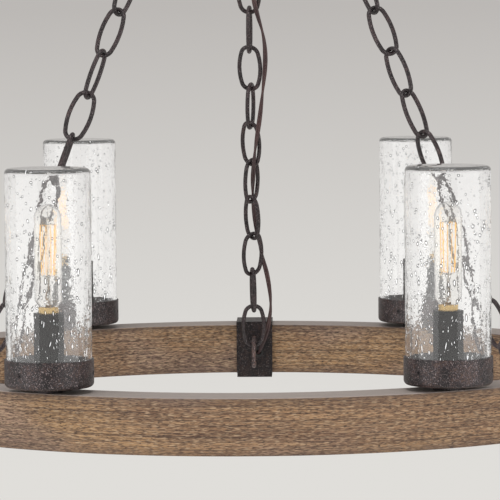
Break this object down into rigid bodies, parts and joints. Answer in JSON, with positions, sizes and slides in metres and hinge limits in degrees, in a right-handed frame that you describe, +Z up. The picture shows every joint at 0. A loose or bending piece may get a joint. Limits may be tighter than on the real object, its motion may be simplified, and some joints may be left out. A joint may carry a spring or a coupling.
{
  "type": "outdoor chandelier",
  "caption": "Round wood ring hung level on chains, with seeded glass cylinder shades in rusted steel cups, each over a tubular filament bulb.",
  "frame": {"origin": "middle of the crossbar's ceiling face, between its two outlet box screws", "axes": "+Z up, -Y to the front of the picture, +X to the right"},
  "size_m": [1.03, 0.9703, 1.0894],
  "materials": {
    "ring_wood": "weathered brown grain, matt",
    "rusted_steel": "dark brown, mottled with rust",
    "cover_steel": "dark brown paint",
    "shade_glass": "clear, with many small seed bubbles",
    "bulb_glass": "clear",
    "bulb_filament": "lit amber wires on a clear glass stem",
    "base_brass": "satin",
    "holder_plastic": "black moulding",
    "zinc_steel": "zinc plated",
    "black_rubber": "matt",
    "lead_cord": "reddish-brown covering on two twisted strands",
    "wire_insulation": "pale insulation"
  },
  "bodies": {
    "ceiling": {"ceiling_crossbar": "zinc_steel", "canopy_nipple": "zinc_steel", "nipple_lock_nut": "zinc_steel", "canopy": "rusted_steel", "canopy_gasket": "black_rubber", "canopy_collar": "rusted_steel", "canopy_loop": "rusted_steel", "canopy_lead": "lead_cord"},
    "top_link": {"top_link": "rusted_steel"},
    "chandelier": {"gathering_ring": "rusted_steel", "chain_left": "rusted_steel", "chain_back": "rusted_steel", "chain_right": "rusted_steel", "ring_body": "ring_wood", "channel_cover": "cover_steel", "cover_screws": "zinc_steel", "chain_saddle_left": "rusted_steel", "chain_saddle_back": "rusted_steel", "chain_saddle_right": "rusted_steel", "chain_staples": "rusted_steel", "supply_lead": "lead_cord", "lead_grommet": "black_rubber", "ring_wiring": "wire_insulation", "shade_cup_1": "rusted_steel", "shade_cup_2": "rusted_steel", "shade_cup_3": "rusted_steel", "shade_cup_4": "rusted_steel", "shade_cup_5": "rusted_steel", "shade_cup_6": "rusted_steel", "cup_spacers": "rusted_steel", "socket_tubes": "rusted_steel", "lampholders": "holder_plastic", "cup_set_screws": "rusted_steel", "glass_gaskets": "black_rubber", "socket_nipples": "zinc_steel", "socket_nuts": "zinc_steel"},
    "shade_1": {"shade_glass_1": "shade_glass"},
    "bulb_base_1": {"bulb_base_1": "base_brass"},
    "bulb_1": {"bulb_glass_1": "bulb_glass", "bulb_filament_1": "bulb_filament"},
    "shade_2": {"shade_glass_2": "shade_glass"},
    "bulb_base_2": {"bulb_base_2": "base_brass"},
    "bulb_2": {"bulb_glass_2": "bulb_glass", "bulb_filament_2": "bulb_filament"},
    "shade_3": {"shade_glass_3": "shade_glass"},
    "bulb_base_3": {"bulb_base_3": "base_brass"},
    "bulb_3": {"bulb_glass_3": "bulb_glass", "bulb_filament_3": "bulb_filament"},
    "shade_4": {"shade_glass_4": "shade_glass"},
    "bulb_base_4": {"bulb_base_4": "base_brass"},
    "bulb_4": {"bulb_glass_4": "bulb_glass", "bulb_filament_4": "bulb_filament"},
    "shade_5": {"shade_glass_5": "shade_glass"},
    "bulb_base_5": {"bulb_base_5": "base_brass"},
    "bulb_5": {"bulb_glass_5": "bulb_glass", "bulb_filament_5": "bulb_filament"},
    "shade_6": {"shade_glass_6": "shade_glass"},
    "bulb_base_6": {"bulb_base_6": "base_brass"},
    "bulb_6": {"bulb_glass_6": "bulb_glass", "bulb_filament_6": "bulb_filament"}
  },
  "joints": [
    {"name": "swing_front_back", "type": "hinge", "parent": "ceiling", "child": "top_link", "pos_m": [0, 0, -0.08], "axis": [1, 0, 0], "range_deg": [-45, 45], "deforming": ["canopy_lead"]},
    {"name": "swing_sideways", "type": "hinge", "parent": "top_link", "child": "chandelier", "pos_m": [0, 0, -0.13545], "axis": [0, 1, 0], "range_deg": [-45, 45], "deforming": ["canopy_lead"]},
    {"name": "shade_1_lift", "type": "slide", "parent": "chandelier", "child": "shade_1", "axis": [0, 0, 1], "range_m": [0, 0.23]},
    {"name": "bulb_1_rise", "type": "slide", "parent": "chandelier", "child": "bulb_base_1", "axis": [0, 0, 1], "range_m": [0, 0.0254]},
    {"name": "bulb_1_turn", "type": "hinge", "parent": "bulb_base_1", "child": "bulb_1", "pos_m": [0.2315, -0.40097, -0.9], "axis": [0, 0, 1], "range_deg": [0, 2520]},
    {"name": "shade_2_lift", "type": "slide", "parent": "chandelier", "child": "shade_2", "axis": [0, 0, 1], "range_m": [0, 0.23]},
    {"name": "bulb_2_rise", "type": "slide", "parent": "chandelier", "child": "bulb_base_2", "axis": [0, 0, 1], "range_m": [0, 0.0254]},
    {"name": "bulb_2_turn", "type": "hinge", "parent": "bulb_base_2", "child": "bulb_2", "pos_m": [0.463, 0, -0.9], "axis": [0, 0, 1], "range_deg": [0, 2520]},
    {"name": "shade_3_lift", "type": "slide", "parent": "chandelier", "child": "shade_3", "axis": [0, 0, 1], "range_m": [0, 0.23]},
    {"name": "bulb_3_rise", "type": "slide", "parent": "chandelier", "child": "bulb_base_3", "axis": [0, 0, 1], "range_m": [0, 0.0254]},
    {"name": "bulb_3_turn", "type": "hinge", "parent": "bulb_base_3", "child": "bulb_3", "pos_m": [0.2315, 0.40097, -0.9], "axis": [0, 0, 1], "range_deg": [0, 2520]},
    {"name": "shade_4_lift", "type": "slide", "parent": "chandelier", "child": "shade_4", "axis": [0, 0, 1], "range_m": [0, 0.23]},
    {"name": "bulb_4_rise", "type": "slide", "parent": "chandelier", "child": "bulb_base_4", "axis": [0, 0, 1], "range_m": [0, 0.0254]},
    {"name": "bulb_4_turn", "type": "hinge", "parent": "bulb_base_4", "child": "bulb_4", "pos_m": [-0.2315, 0.40097, -0.9], "axis": [0, 0, 1], "range_deg": [0, 2520]},
    {"name": "shade_5_lift", "type": "slide", "parent": "chandelier", "child": "shade_5", "axis": [0, 0, 1], "range_m": [0, 0.23]},
    {"name": "bulb_5_rise", "type": "slide", "parent": "chandelier", "child": "bulb_base_5", "axis": [0, 0, 1], "range_m": [0, 0.0254]},
    {"name": "bulb_5_turn", "type": "hinge", "parent": "bulb_base_5", "child": "bulb_5", "pos_m": [-0.463, 0, -0.9], "axis": [0, 0, 1], "range_deg": [0, 2520]},
    {"name": "shade_6_lift", "type": "slide", "parent": "chandelier", "child": "shade_6", "axis": [0, 0, 1], "range_m": [0, 0.23]},
    {"name": "bulb_6_rise", "type": "slide", "parent": "chandelier", "child": "bulb_base_6", "axis": [0, 0, 1], "range_m": [0, 0.0254]},
    {"name": "bulb_6_turn", "type": "hinge", "parent": "bulb_base_6", "child": "bulb_6", "pos_m": [-0.2315, -0.40097, -0.9], "axis": [0, 0, 1], "range_deg": [0, 2520]}
  ],
  "couplings": [
    {"joint": "bulb_1_rise", "follows": "bulb_1_turn", "m_per_rad": 0.0005775},
    {"joint": "bulb_2_rise", "follows": "bulb_2_turn", "m_per_rad": 0.0005775},
    {"joint": "bulb_3_rise", "follows": "bulb_3_turn", "m_per_rad": 0.0005775},
    {"joint": "bulb_4_rise", "follows": "bulb_4_turn", "m_per_rad": 0.0005775},
    {"joint": "bulb_5_rise", "follows": "bulb_5_turn", "m_per_rad": 0.0005775},
    {"joint": "bulb_6_rise", "follows": "bulb_6_turn", "m_per_rad": 0.0005775}
  ]
}
